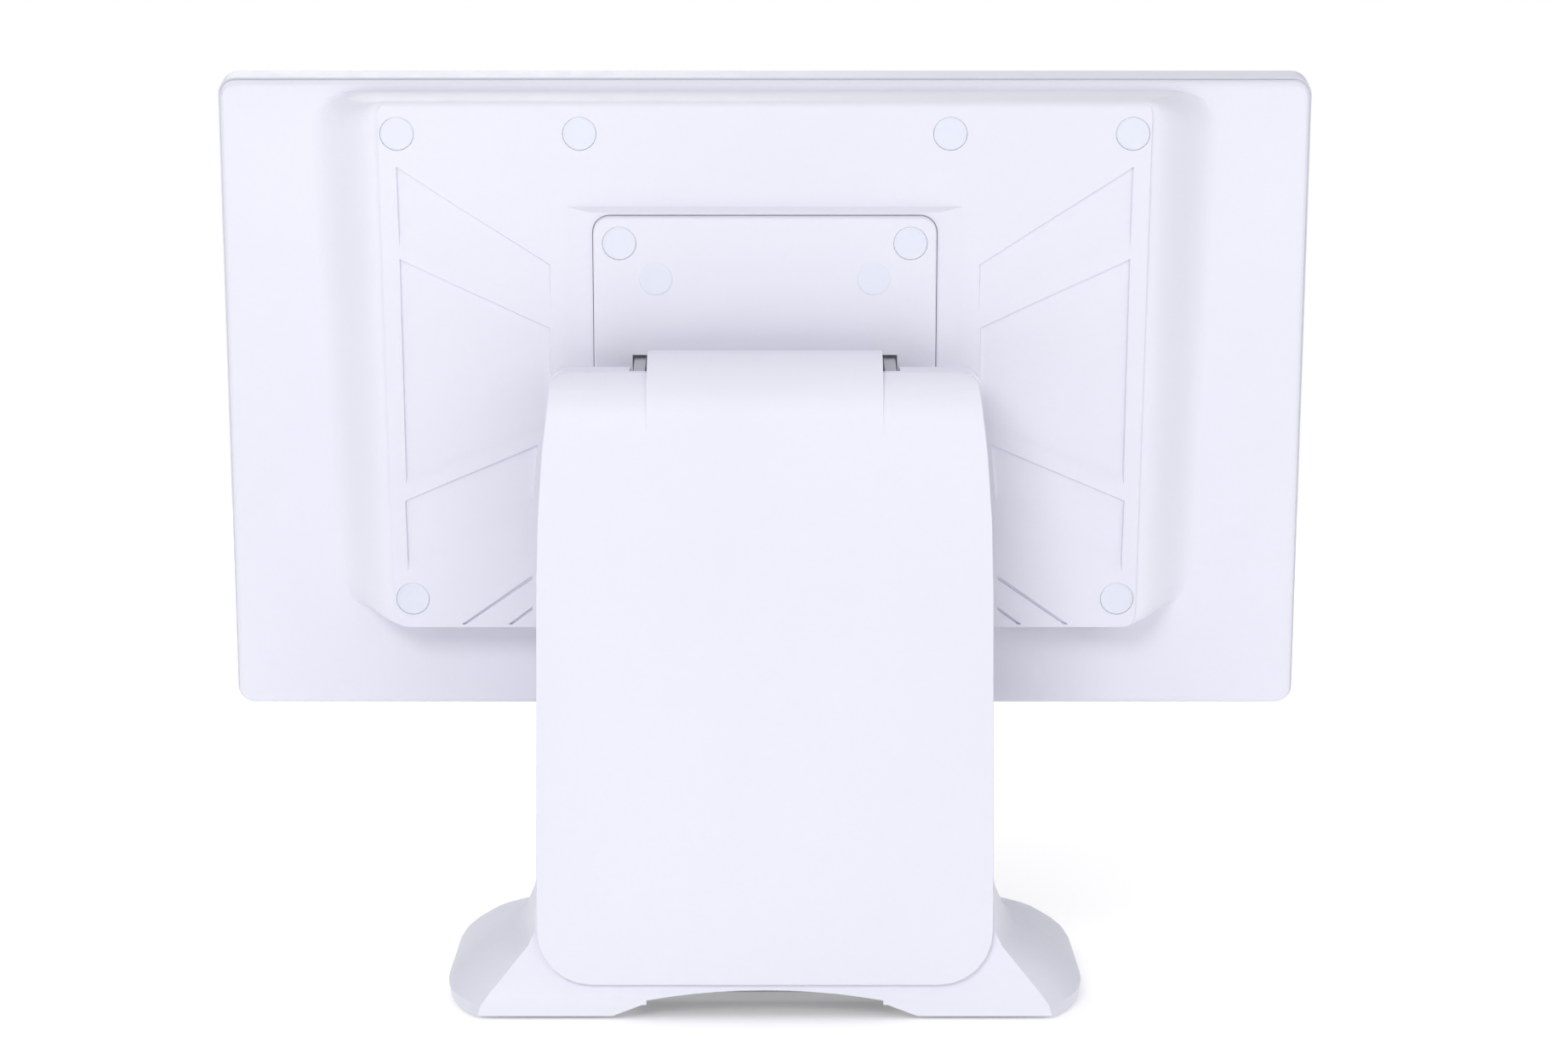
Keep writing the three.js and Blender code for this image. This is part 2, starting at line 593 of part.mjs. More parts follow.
const TIER_HALF_H = 61.5;
const tierRise = (halfLow, halfHigh, middle) => polygon([
  [BULGE_Y - 1, middle - halfLow],
  [BULGE_Y, middle - halfLow],
  [TIER_Y, middle - halfHigh],
  [TIER_Y, middle + halfHigh],
  [BULGE_Y, middle + halfLow],
  [BULGE_Y - 1, middle + halfLow],
]);
const tierSide = tierRise(TIER_HALF_H, PAD_HALF + 1.2, AXIS_Z);
const tierPlan = polygon(tierRise(TIER_HALF, PAD_HALF + 1.5, 0).getPoints().map((p) => [p.y, p.x]));
const tier = cut(
  prismX(tierSide, -TIER_HALF, TIER_HALF).intersect(prismZ(tierPlan, -80, 100)),
  prismY(aroundAxis(PAD_HALF + GAP, 6), BULGE_Y, TIER_Y + 1),
);

// Connectors on the lower wall of the bulge, facing down: name, left edge, width and height.
const PORT_Y = BOARD_Y + GAP;
const PORTS = [
  ['dc_inlet', -121, 14, 11],
  ['lan_port', -101, 16, 12],
  ['usb_port_left', -79, 14, 14],
  ['serial_port', -58, 31, 11],
  ['drawer_port', -20, 15, 12],
  ['hdmi_port', 3, 15, 6],
  ['usb_port_right', 26, 14, 14],
];
const PORT_END = BULGE_BOTTOM + GAP;
const PORT_LENGTH = 16;
const PORT_MOUTH = 12; // depth of the socket's opening
const portSlots = PORTS.map(([, x, width, height]) => block(
  x - GAP, x + width + GAP, PORT_Y - GAP, PORT_Y + height + GAP, BULGE_BOTTOM - 1, BULGE_BOTTOM + 4));

// Slots in the lower wall, for air and for the speakers' sound.
const VENT = { first: 58, pitch: 4.5, count: 15, width: 2, y0: 3, y1: 14 };
const vents = Array.from({ length: VENT.count }, (_, i) => {
  const x = VENT.first + i * VENT.pitch;
  return block(x, x + VENT.width, VENT.y0, VENT.y1, BULGE_BOTTOM - 1, BULGE_BOTTOM + 4);
});

const BULGE_CAPS = [[-126, 99.5], [-63.5, 99.5], [63.5, 99.5], [126, 99.5], [-124, -67.5], [124, -67.5]];
const CAP_DEPTH = 1.6;
const capSeats = BULGE_CAPS.map(([x, z]) =>
  rodY(CAP_RADIUS + GAP, x, BULGE_Y - CAP_DEPTH - GAP, BULGE_Y + 1, z));

const rearCover = cut(
  join(softPrismY(screenOutline(COVER_INSET), SPLIT_Y, 0, 2.5), bulgeOuter, tier),
  lipInner, bulgeInner, ...relief, ...portSlots, ...vents, ...capSeats);
add(display, 'rear_cover', rearCover, HOUSING);

BULGE_CAPS.forEach(([x, z], i) =>
  add(display, `screw_cap_${i + 1}`, rodY(CAP_RADIUS, x, BULGE_Y - CAP_DEPTH, BULGE_Y, z), HOUSING_SHADE));

// ---------------------------------------------------------------- power button

const buttonBase = -SCREEN_HALF_H + WALL + GAP;
const powerButton = join(
  prismY(roundedRect(
    BUTTON.x - BUTTON.halfW, BUTTON.x + BUTTON.halfW,
    -SCREEN_HALF_H - BUTTON.travel, buttonBase + 0.5, 0.5), BUTTON.y0, BUTTON.y1, 2),
  block(BUTTON.x - BUTTON.halfW - 1.5, BUTTON.x + BUTTON.halfW + 1.5,
    BUTTON.y0 - 0.8, BUTTON.y1 + 0.3, buttonBase, buttonBase + 1),
);
add(display, 'power_button', powerButton, HOUSING_SHADE);
const switchZ = buttonBase + 1 + BUTTON.travel + 2 * GAP;
const buttonBoard = block(
  BUTTON.x - 12, BUTTON.x + 12, BUTTON.y0, BUTTON.y1, switchZ, switchZ + BOARD_THICKNESS);
add(display, 'button_board', buttonBoard, BOARD_GREEN);

// ---------------------------------------------------------------- computer in the bulge

const board = block(-122, 66, BOARD_Y - BOARD_THICKNESS, BOARD_Y, BULGE_BOTTOM + COVER_WALL + 1, 96);
add(display, 'mainboard', board, BOARD_GREEN);
for (const [name, x, width, height] of PORTS) {
  const shell = block(x, x + width, PORT_Y, PORT_Y + height, PORT_END, PORT_END + PORT_LENGTH);
  const mouth = block(
    x + 1, x + width - 1, PORT_Y + 1, PORT_Y + height - 1, PORT_END - 1, PORT_END + PORT_MOUTH);
  add(display, name, cut(shell, mouth), name === 'dc_inlet' ? BLACK_PLASTIC : STEEL);
}

const FIN_COUNT = 9;
const FIN_PITCH = 7.5;
const sink = { x: -60, z: 10, half: 34, y: BOARD_Y + GAP + 1.2 };
const fins = Array.from({ length: FIN_COUNT }, (_, i) => {
  const x = sink.x + (i - (FIN_COUNT - 1) / 2) * FIN_PITCH;
  return block(x - 0.8, x + 0.8, sink.y + 2, sink.y + 13, sink.z - sink.half, sink.z + sink.half);
});
const heatSink = join(
  block(sink.x - sink.half, sink.x + sink.half, sink.y, sink.y + 3, sink.z - sink.half, sink.z + sink.half),
  ...fins);
add(display, 'heat_sink', heatSink, ALUMINIUM);
add(display, 'memory_module', block(-12, 57, BOARD_Y + 4, BOARD_Y + 5.2, 20, 50), BOARD_GREEN);
add(display, 'ssd_module', block(-12, 10, BOARD_Y + 3, BOARD_Y + 5, -50, 10), BOARD_GREEN);
add(display, 'wifi_module', block(22, 44, BOARD_Y + 3, BOARD_Y + 5, -45, -15), BOARD_GREEN);
add(display, 'touch_controller', block(80, 118, BOARD_Y - BOARD_THICKNESS, BOARD_Y, -20, 40), BOARD_GREEN);
for (const [sideName, side] of SIDES) {
  const [x0, x1] = mirrorX(80, 124, side);
  add(display, `speaker_${sideName}`, block(x0, x1, BOARD_Y + 3, BOARD_Y + 13, -60, -36), BLACK_PLASTIC);
  const [a0, a1] = mirrorX(20, 60, side);
  add(display, `antenna_${sideName}`, block(a0, a1, 8, 9, 99, 106), BOARD_GREEN);
}

// ---------------------------------------------------------------- head side of the hinge

const PLATE_Y0 = BULGE_Y + GAP;
const PLATE_Y1 = PLATE_Y0 + 3;
const ARM_RADIUS = 10;
const ARM_ROOT_LOW = 15; // the arm at the plate, below and above the axis
const ARM_ROOT_HIGH = 9.5;
const armShape = new THREE.Shape();
armShape.moveTo(PLATE_Y1 - 1, AXIS_Z - ARM_ROOT_LOW);
armShape.lineTo(AXIS_Y, AXIS_Z - ARM_RADIUS);
armShape.absarc(AXIS_Y, AXIS_Z, ARM_RADIUS, -Math.PI / 2, Math.PI / 2);
armShape.lineTo(PLATE_Y1 - 1, AXIS_Z + ARM_ROOT_HIGH);
const BRACKET_HALF = 56;
const VESA_CORNERS = [[-1, -1], [-1, 1], [1, -1], [1, 1]]; // to the right, and up
const VESA_SCREW = { shank: 1.9, hole: 2.4, head: 3.5, top: 1.4 };
const PAD_CAP_DEPTH = 1.2;
const atCorners = (half, shapeAt) =>
  VESA_CORNERS.map(([right, up]) => shapeAt(right * half, AXIS_Z + up * half));
const vesaHoles = atCorners(VESA, (x, z) => rodY(VESA_SCREW.hole, x, PLATE_Y0 - 1, PLATE_Y1 + 1, z));
const headBracket = cut(
  join(
    prismY(aroundAxis(BRACKET_HALF, 4), PLATE_Y0, PLATE_Y1),
    prismX(armShape, ARM_INNER, ARM_OUTER, 12),
    prismX(armShape, -ARM_OUTER, -ARM_INNER, 12),
  ),
  rodX(SHAFT_RADIUS + GAP, -60, 60, AXIS_Y, AXIS_Z),
  ...vesaHoles);
add(display, 'head_bracket', headBracket, STEEL);

const ARM_ROOM = 0.7; // room round an arm in the hinge pad
const RING_WIDTH = 0.5; // of the groove round each knock-out
const RING_DEPTH = 0.8;
const knockOuts = atCorners(VESA_SMALL, (x, z) => cut(
  rodY(CAP_RADIUS, x, PAD_Y - RING_DEPTH, PAD_Y + 1, z),
  rodY(CAP_RADIUS - RING_WIDTH, x, PAD_Y - 2, PAD_Y + 2, z)));
const padCapSeats = atCorners(VESA, (x, z) => rodY(CAP_RADIUS + GAP, x, PLATE_Y0, PAD_Y + 1, z));
const padArmSlots = SIDES.map(([, side]) => block(
  ...mirrorX(ARM_INNER - ARM_ROOM, ARM_OUTER + ARM_ROOM, side), PLATE_Y0 - 1, PAD_Y + 1,
  AXIS_Z - ARM_ROOT_LOW - 1, AXIS_Z + ARM_ROOT_HIGH + 1));
const mountPad = cut(
  softPrismY(aroundAxis(PAD_HALF, 5.5), PLATE_Y0, PAD_Y, 1),
  prismY(aroundAxis(BRACKET_HALF + 0.6, 4.6), PLATE_Y0 - 1, PLATE_Y1 + GAP),
  ...knockOuts, ...padCapSeats, ...padArmSlots);
add(display, 'mount_pad', mountPad, HOUSING);

VESA_CORNERS.forEach(([right, up], i) => {
  const [x, z] = [right * VESA, AXIS_Z + up * VESA];
  add(display, `pad_cap_${i + 1}`, rodY(CAP_RADIUS, x, PAD_Y - PAD_CAP_DEPTH, PAD_Y, z), HOUSING_SHADE);
  const screw = join(
    rodY(VESA_SCREW.head, x, PLATE_Y1 + GAP, PLATE_Y1 + VESA_SCREW.top, z),
    rodY(VESA_SCREW.shank, x, PLATE_Y0, PLATE_Y1 + 1, z));
  add(display, `vesa_screw_${i + 1}`, screw, DARK_STEEL);
});

for (const [sideName, side] of SIDES) {
  const [x0, x1] = mirrorX(BARREL.inner + 2, ARM_OUTER + 0.6, side);
  const headX = mirrorX(ARM_OUTER + 0.3, ARM_OUTER + 0.9, side);
  const shaft = join(rodX(SHAFT_RADIUS, x0, x1, AXIS_Y, AXIS_Z), rodX(5.5, ...headX, AXIS_Y, AXIS_Z));
  add(display, `hinge_shaft_${sideName}`, shaft, STEEL);
}

export default part;
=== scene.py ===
"""Looks for the point-of-sale touchscreen terminal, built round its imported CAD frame. Metres, +Z up."""
import json
import math
import random

import bmesh
import bpy
from mathutils import Matrix, Vector


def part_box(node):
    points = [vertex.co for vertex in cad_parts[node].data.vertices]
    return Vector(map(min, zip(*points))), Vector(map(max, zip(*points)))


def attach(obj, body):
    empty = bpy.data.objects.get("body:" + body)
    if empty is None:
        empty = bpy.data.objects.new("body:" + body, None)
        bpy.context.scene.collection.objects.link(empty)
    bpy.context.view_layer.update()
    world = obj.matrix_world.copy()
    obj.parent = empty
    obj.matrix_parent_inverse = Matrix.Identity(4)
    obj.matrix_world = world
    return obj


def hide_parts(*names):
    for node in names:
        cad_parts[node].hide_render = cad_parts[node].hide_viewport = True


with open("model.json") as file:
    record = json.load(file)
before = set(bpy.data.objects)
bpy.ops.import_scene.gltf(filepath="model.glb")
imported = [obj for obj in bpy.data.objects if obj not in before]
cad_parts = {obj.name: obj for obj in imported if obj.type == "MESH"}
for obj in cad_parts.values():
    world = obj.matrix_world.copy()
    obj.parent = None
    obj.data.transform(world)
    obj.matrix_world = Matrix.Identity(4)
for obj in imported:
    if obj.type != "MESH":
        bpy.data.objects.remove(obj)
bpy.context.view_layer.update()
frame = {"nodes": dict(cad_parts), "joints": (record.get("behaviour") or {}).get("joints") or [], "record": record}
NODES = frame["nodes"]
JOINTS = {joint["name"]: joint for joint in frame["joints"]}
BODY_OF = {node: body for body, nodes in frame["record"]["behaviour"]["bodies"].items() for node in nodes}
SLOT_OF = {row["node"]: row["material_slot"] for row in frame["record"]["subparts"]}
MM = 0.001

# ---------------------------------------------------------------- the display's own axes

HINGE = Vector(JOINTS["display_tilt"]["pos_m"])
UP = Vector(JOINTS["power_button_press"]["axis"]).normalized()
RIGHT = Vector((1, 0, 0))
BACK = UP.cross(RIGHT).normalized()
AXIS_BACK = 45 * MM  # the hinge axis, seen from the middle of the display's rear cover
AXIS_UP = 12.5 * MM
ORIGIN = HINGE - BACK * AXIS_BACK - UP * AXIS_UP
DISPLAY = Matrix.Translation(ORIGIN) @ Matrix((RIGHT, BACK, UP)).transposed().to_4x4()
INTO_DISPLAY = DISPLAY.inverted()
STAND = Matrix.Identity(4)


def display_box(node):
    """Lowest and highest corner of a node in the display's own axes, in metres."""
    points = [INTO_DISPLAY @ vertex.co for vertex in NODES[node].data.vertices]
    return (Vector([min(p[i] for p in points) for i in range(3)]),
            Vector([max(p[i] for p in points) for i in range(3)]))


# ---------------------------------------------------------------- materials


class Look:
    """A procedural material: one Principled shader, fed through short calls."""

    def __init__(self, name, metallic=0.0, **sockets):
        self.material = bpy.data.materials.new(name)
        self.material.use_nodes = True
        self.tree = self.material.node_tree
        self.shader = self.tree.nodes["Principled BSDF"]
        self.shader.inputs["Metallic"].default_value = metallic
        for socket, value in sockets.items():
            self.shader.inputs[socket.replace("_", " ")].default_value = value
        self.coords = self.node("ShaderNodeTexCoord").outputs["Object"]

    def node(self, kind, **values):
        made = self.tree.nodes.new(kind)
        for name, value in values.items():
            setattr(made, name, value)
        return made

    def link(self, source, target):
        self.tree.links.new(source, target)

    def mapped(self, stretch=(1, 1, 1), turn=(0, 0, 0)):
        mapping = self.node("ShaderNodeMapping")
        mapping.inputs["Scale"].default_value = stretch
        mapping.inputs["Rotation"].default_value = turn
        self.link(self.coords, mapping.inputs["Vector"])
        return mapping.outputs["Vector"]

    def noise(self, scale, detail=2.0, stretch=(1, 1, 1)):
        texture = self.node("ShaderNodeTexNoise")
        texture.inputs["Scale"].default_value = scale
        texture.inputs["Detail"].default_value = detail
        self.link(self.mapped(stretch), texture.inputs["Vector"])
        return texture.outputs["Fac"]

    def cells(self, scale):
        texture = self.node("ShaderNodeTexVoronoi")
        texture.inputs["Scale"].default_value = scale
        self.link(self.coords, texture.inputs["Vector"])
        return texture.outputs["Distance"]

    def spread(self, value, low, high, start=0.3, end=0.7):
        """value, from start to end, becomes low to high."""
        ranged = self.node("ShaderNodeMapRange")
        for socket, number in zip(("From Min", "From Max", "To Min", "To Max"), (start, end, low, high)):
            ranged.inputs[socket].default_value = number
        self.link(value, ranged.inputs["Value"])
        return ranged.outputs["Result"]

    def mix(self, factor, first, second):
        """A colour between two, by factor. Each is a colour or a socket."""
        mixed = self.node("ShaderNodeMix", data_type="RGBA")
        self.link(factor, mixed.inputs["Factor"])
        for slot_name, colour in (("A", first), ("B", second)):
            socket = [s for s in mixed.inputs if s.name == slot_name and s.type == "RGBA"][0]
            if isinstance(colour, tuple):
                socket.default_value = (*colour, 1)
            else:
                self.link(colour, socket)
        return [s for s in mixed.outputs if s.type == "RGBA"][0]

    def colour(self, source):
        self.link(source, self.shader.inputs["Base Color"])

    def roughness(self, value, low, high):
        self.link(self.spread(value, low, high), self.shader.inputs["Roughness"])

    def bump(self, height, depth, strength):
        """height raises the surface by up to depth metres. A later bump is added to an earlier one."""
        bump = self.node("ShaderNodeBump")
        bump.inputs["Distance"].default_value = depth
        bump.inputs["Strength"].default_value = strength
        self.link(height, bump.inputs["Height"])
        normal = self.shader.inputs["Normal"]
        if normal.is_linked:
            self.link(normal.links[0].from_socket, bump.inputs["Normal"])
        self.link(bump.outputs["Normal"], normal)


def shade(colour, factor):
    return tuple(channel * factor for channel in colour)


def plastic(name, colour, rough, grain=1600, variation=0.03):
    """Moulded plastic: a spark-eroded grain, slow changes of tone, and gloss that varies a little."""
    made = Look(name, Specular_IOR_Level=0.5)
    tone = made.noise(9, 3)
    speck = made.noise(420, 2)
    body = made.mix(made.spread(tone, 0, 1), shade(colour, 1 - variation), colour)
    made.colour(made.mix(made.spread(speck, 0, 0.12), body, shade(colour, 1 - 2.5 * variation)))
    made.roughness(made.noise(160, 3), rough - 0.05, rough + 0.06)
    made.bump(made.noise(grain, 2), 0.012 * MM, 0.6)
    made.bump(made.noise(35, 2), 0.05 * MM, 0.05)
    return made.material


def metal(name, colour, rough, brushed=(1, 1, 1), scale=900, depth=0.01 * MM, tarnish=0.25):
    """Metal with fine drawn lines along one axis, and a patchy film on it."""
    made = Look(name, metallic=1.0)
    lines = made.noise(scale, 3, brushed)
    film = made.noise(38, 4)
    made.colour(made.mix(made.spread(film, 0, 1, 0.35, 0.75), colour, shade(colour, 1 - tarnish)))
    made.roughness(lines, rough - 0.08, rough + 0.12)
    made.bump(lines, depth, 0.5)
    return made.material


PANEL_EDGE_SIDE = 7 * MM  # how far inside the panel's outline the active area ends
PANEL_EDGE_TOP = 6 * MM
PRINT_EDGE = 0.15 * MM  # half the width over which the printed border gives way


def glass(name):
    """The touch glass, dark behind its face: a printed border, and a slightly paler active area."""
    made = Look(name, Specular_IOR_Level=0.6, Coat_Weight=0.4, Coat_Roughness=0.03, IOR=1.52)
    low, high = display_box("lcd_panel")
    half_w = (high.x - low.x) / 2 - PANEL_EDGE_SIDE
    half_h = (high.z - low.z) / 2 - PANEL_EDGE_TOP
    shifted = made.node("ShaderNodeMapping", vector_type="POINT")
    shifted.inputs["Location"].default_value = INTO_DISPLAY.translation
    shifted.inputs["Rotation"].default_value = INTO_DISPLAY.to_euler()
    made.link(made.coords, shifted.inputs["Vector"])
    parts = made.node("ShaderNodeSeparateXYZ")
    made.link(shifted.outputs["Vector"], parts.inputs["Vector"])
    inside = []
    for axis, half in (("X", half_w), ("Z", half_h)):
        size = made.node("ShaderNodeMath", operation="ABSOLUTE")
        made.link(parts.outputs[axis], size.inputs[0])
        inside.append(made.spread(size.outputs["Value"], 1, 0, half - PRINT_EDGE, half + PRINT_EDGE))
    both = made.node("ShaderNodeMath", operation="MULTIPLY")
    made.link(inside[0], both.inputs[0])
    made.link(inside[1], both.inputs[1])
    smudge = made.noise(14, 4)
    active = made.mix(made.spread(smudge, 0, 1), (0.011, 0.012, 0.015), (0.016, 0.017, 0.021))
    made.colour(made.mix(both.outputs["Value"], (0.004, 0.004, 0.005), active))
    made.roughness(smudge, 0.03, 0.11)
    return made.material


def circuit_board(name):
    """Green solder mask over copper: traces as a fine brick pattern, vias as dots."""
    made = Look(name, Specular_IOR_Level=0.5)
    traces = made.node("ShaderNodeTexBrick")
    for socket, number in (("Scale", 160), ("Mortar Size", 0.05), ("Mortar Smooth", 0.2),
                           ("Brick Width", 0.9), ("Row Height", 0.22)):
        traces.inputs[socket].default_value = number
    made.link(made.mapped(turn=(math.radians(90), 0, 0)), traces.inputs["Vector"])
    vias = made.spread(made.cells(260), 1, 0, 0.05, 0.12)
    mask = made.mix(traces.outputs["Fac"], (0.012, 0.09, 0.04), (0.03, 0.16, 0.075))
    made.colour(made.mix(vias, mask, (0.55, 0.45, 0.2)))
    made.roughness(made.noise(300, 2), 0.3, 0.45)
    made.bump(traces.outputs["Fac"], 0.03 * MM, 0.6)
    return made.material


def rubber(name):
    """Dark rubber: a matt, pebbled skin with paler dusty patches here and there."""
    made = Look(name, Specular_IOR_Level=0.25)
    made.colour(made.mix(made.spread(made.noise(60, 3), 0, 1), (0.012, 0.012, 0.013), (0.035, 0.035, 0.037)))
    made.roughness(made.noise(300, 2), 0.8, 0.95)
    made.bump(made.cells(1500), 0.03 * MM, 0.5)
    return made.material


WHITE = (0.80, 0.80, 0.885)
LOOKS = {
    "housing_plastic": plastic("housing_plastic", WHITE, 0.44),
    "housing_trim": plastic("housing_trim", (0.77, 0.79, 0.885), 0.38, grain=2200),
    "screen_glass": glass("screen_glass"),
    "lcd_panel": metal("lcd_panel", (0.10, 0.10, 0.11), 0.4, (1, 40, 1)),
    "steel": metal("steel", (0.62, 0.63, 0.64), 0.36, (40, 1, 1)),
    "dark_steel": metal("dark_steel", (0.055, 0.056, 0.06), 0.42, (1, 1, 1), 2200, 0.02 * MM, 0.4),
    "screw_metal": metal("screw_metal", (0.5, 0.5, 0.51), 0.3, (1, 1, 30)),
    "port_metal": metal("port_metal", (0.68, 0.67, 0.64), 0.25, (30, 1, 1)),
    "aluminium": metal("aluminium", (0.72, 0.73, 0.74), 0.38, (1, 1, 60)),
    "black_plastic": plastic("black_plastic", (0.018, 0.018, 0.02), 0.5, grain=1800, variation=0.2),
    "circuit_board": circuit_board("circuit_board"),
    "rubber": rubber("rubber"),
    "contact_gold": metal("contact_gold", (0.83, 0.62, 0.27), 0.22, (1, 30, 1)),
    "indicator_lens": plastic("indicator_lens", (0.25, 0.5, 0.85), 0.25, grain=900),
}

# ---------------------------------------------------------------- pieces

COLLECTION = bpy.context.collection


def piece_from(shell, name, look, body, place=STAND, soft_angle=35):
    """A finished piece from mesh code that is written in the axes of place."""
    shell.transform(place)
    bmesh.ops.recalc_face_normals(shell, faces=shell.faces)
    mesh = bpy.data.meshes.new(name)
    shell.to_mesh(mesh)
    shell.free()
    return piece_of(mesh, name, look, body, soft_angle)


def piece_of(mesh, name, look, body, soft_angle=None):
    """A mesh with a look and a body to ride. Edges sharper than soft_angle, in degrees, stay crisp."""
    if soft_angle:
        mesh.shade_smooth()
        mesh.set_sharp_from_angle(angle=math.radians(soft_angle))
    mesh.materials.clear()
    mesh.materials.append(LOOKS[look])
    made = bpy.data.objects.new(name, mesh)
    COLLECTION.objects.link(made)
    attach(made, body)
    return made


WELD = 0.004 * MM  # points nearer to each other than this become one
FLAT_WITHIN = math.radians(0.6)  # faces this nearly in one plane are joined before the rounding
CRISP_FROM = math.radians(50)  # before the rounding, softer edges than this are shaded smooth
ROUND_FROM = math.radians(30)  # sharper edges than this are rounded
ROUND_STEPS = 2
FACE_WEIGHT = 90  # large faces set the shading, so that they stay flat beside a rounded edge


def moulded(node, width):
    """The CAD solid once more with its edges rounded by up to width, shown in the plain one's place."""
    shell = bmesh.new()
    shell.from_mesh(NODES[node].data)
    bmesh.ops.remove_doubles(shell, verts=shell.verts, dist=WELD)
    bmesh.ops.dissolve_limit(shell, angle_limit=FLAT_WITHIN, verts=shell.verts, edges=shell.edges)
    mesh = bpy.data.meshes.new(node)
    shell.to_mesh(mesh)
    shell.free()
    mesh.shade_smooth()
    mesh.set_sharp_from_angle(angle=CRISP_FROM)
    rough = bpy.data.objects.new(node + "_edges", mesh)
    COLLECTION.objects.link(rough)
    edges = rough.modifiers.new("edges", "BEVEL")
    edges.width = width
    edges.segments = ROUND_STEPS
    edges.limit_method = "ANGLE"
    edges.angle_limit = ROUND_FROM
    edges.use_clamp_overlap = True
    edges.miter_outer = "MITER_ARC"
    normals = rough.modifiers.new("normals", "WEIGHTED_NORMAL")
    normals.weight = FACE_WEIGHT
    normals.keep_sharp = False
    with_modifiers = rough.evaluated_get(bpy.context.evaluated_depsgraph_get())
    finished = bpy.data.meshes.new_from_object(with_modifiers)
    bpy.data.objects.remove(rough)
    made = piece_of(finished, "moulded_" + node, SLOT_OF[node], BODY_OF[node])
    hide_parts(node)


def box_in(shell, low, high, bevel=0.0):
    """A block between two corners, with its edges rounded by bevel."""
    low, high = Vector(low), Vector(high)
    place = Matrix.Translation((low + high) / 2) @ Matrix.Diagonal((*(high - low), 1))
    made = bmesh.ops.create_cube(shell, size=1, matrix=place)
    if bevel:
        edges = {edge for vertex in made["verts"] for edge in vertex.link_edges}
        bmesh.ops.bevel(shell, geom=list(edges), offset=bevel, segments=2, affect="EDGES", profile=0.5)


ON_AXIS = 1e-7  # a profile point with a smaller radius than this is on the axis


def lathe_in(shell, profile, centre, axis, segments):
    """A turned shape: profile is (radius, height) pairs from the axis and back to it, along axis."""
    axis = Vector(axis).normalized()
    side = axis.orthogonal().normalized()
    across = axis.cross(side)
    rings = []
    for radius, height in profile:
        middle = Vector(centre) + axis * height
        if radius < ON_AXIS:
            rings.append([shell.verts.new(middle)])
            continue
        angles = [2 * math.pi * i / segments for i in range(segments)]
        rings.append([shell.verts.new(middle + (side * math.cos(a) + across * math.sin(a)) * radius)
                      for a in angles])
    for lower, upper in zip(rings, rings[1:]):
        for i in range(segments):
            j = (i + 1) % segments
            corners = [
                lower[i % len(lower)], lower[j % len(lower)],
                upper[j % len(upper)], upper[i % len(upper)],
            ]
            distinct = list(dict.fromkeys(corners))
            if len(distinct) > 2:
                shell.faces.new(distinct)


# ---------------------------------------------------------------- covers

MOULDED = {  # radius of the rounded edges, in mm
    "front_frame": 0.5,
    "rear_cover": 0.6,
    "mount_pad": 0.5,
    "column_rear_cover": 0.7,
    "column_front_cover": 0.7,
    "neck_front_cover": 0.6,
    "base_cover": 0.8,
    "power_button": 0.25,
    "touch_glass": 0.3,
    "head_bracket": 0.4,
    "hinge_bracket": 0.4,
    "column_spine": 0.3,
    "base_plate": 0.3,
    "heat_sink": 0.2,
}
for node, width in MOULDED.items():
    moulded(node, width * MM)

# ---------------------------------------------------------------- screw covers, screws and feet

CAP_RADIUS = 5.75 * MM  # covers and plugs, a little wider than the plain covers
CAP_PROFILE = [  # share of the radius, and mm below the plain cover's face
    (0, 0.25),
    (0.78, 0.25),
    (0.86, 0.18),
    (0.93, 0.03),
    (1, 0.22),
]


def screw_cover(node):
    """A flush round cover: a shallow dish with a fine ring moulded near its edge."""
    low, high = display_box(node)
    depth = high.y - low.y
    profile = [(share * CAP_RADIUS, depth - down * MM) for share, down in CAP_PROFILE]
    shell = bmesh.new()
    lathe_in(shell, [(0, 0), (CAP_RADIUS, 0), *reversed(profile)],
             ((low.x + high.x) / 2, low.y, (low.z + high.z) / 2), (0, 1, 0), 48)
    made = piece_from(shell, "cover_" + node, SLOT_OF[node], BODY_OF[node], DISPLAY, 30)
    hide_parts(node)


LOBES = 6
LOBE_DEPTH = 0.14  # share of the drive's radius
DRIVE_BAND = (0.4, 0.55)  # shares of the head's radius between which the drive's walls lie


def screw(node, place, box, axis, head_radius, shank_radius, head_depth):
    """A pan-head screw with a six-lobed drive, along axis from its tip, in the axes of place."""
    low, high = box(node)
    middle = (low + high) / 2
    axis = Vector(axis)
    along = (high - low).dot(axis)
    tip = middle - axis * along / 2
    neck = along - head_depth
    shell = bmesh.new()
    lathe_in(shell, [
        (0, 0), (shank_radius * 0.8, 0), (shank_radius, 0.3 * MM), (shank_radius, neck),
        (head_radius, neck), (head_radius, along - head_depth * 0.55),
        (head_radius * 0.9, along - head_depth * 0.2), (head_radius * 0.7, along),
        (head_radius * 0.5, along), (head_radius * 0.46, along - head_depth * 0.6),
        (0, along - head_depth * 0.7),
    ], tip, axis, 36)
    lobes = [vertex for vertex in shell.verts
             if DRIVE_BAND[0] < distance_to_line(vertex.co, tip, axis) / head_radius < DRIVE_BAND[1]]
    for vertex in lobes:
        out = vertex.co - tip - axis * (vertex.co - tip).dot(axis)
        turn = math.atan2(out.dot(axis.orthogonal()), out.dot(axis.cross(axis.orthogonal())))
        vertex.co += out * LOBE_DEPTH * math.cos(LOBES * turn)
    made = piece_from(shell, "turned_" + node, "screw_metal", BODY_OF[node], place, 30)
    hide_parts(node)


def distance_to_line(point, start, axis):
    offset = point - start
    return (offset - axis * offset.dot(axis)).length


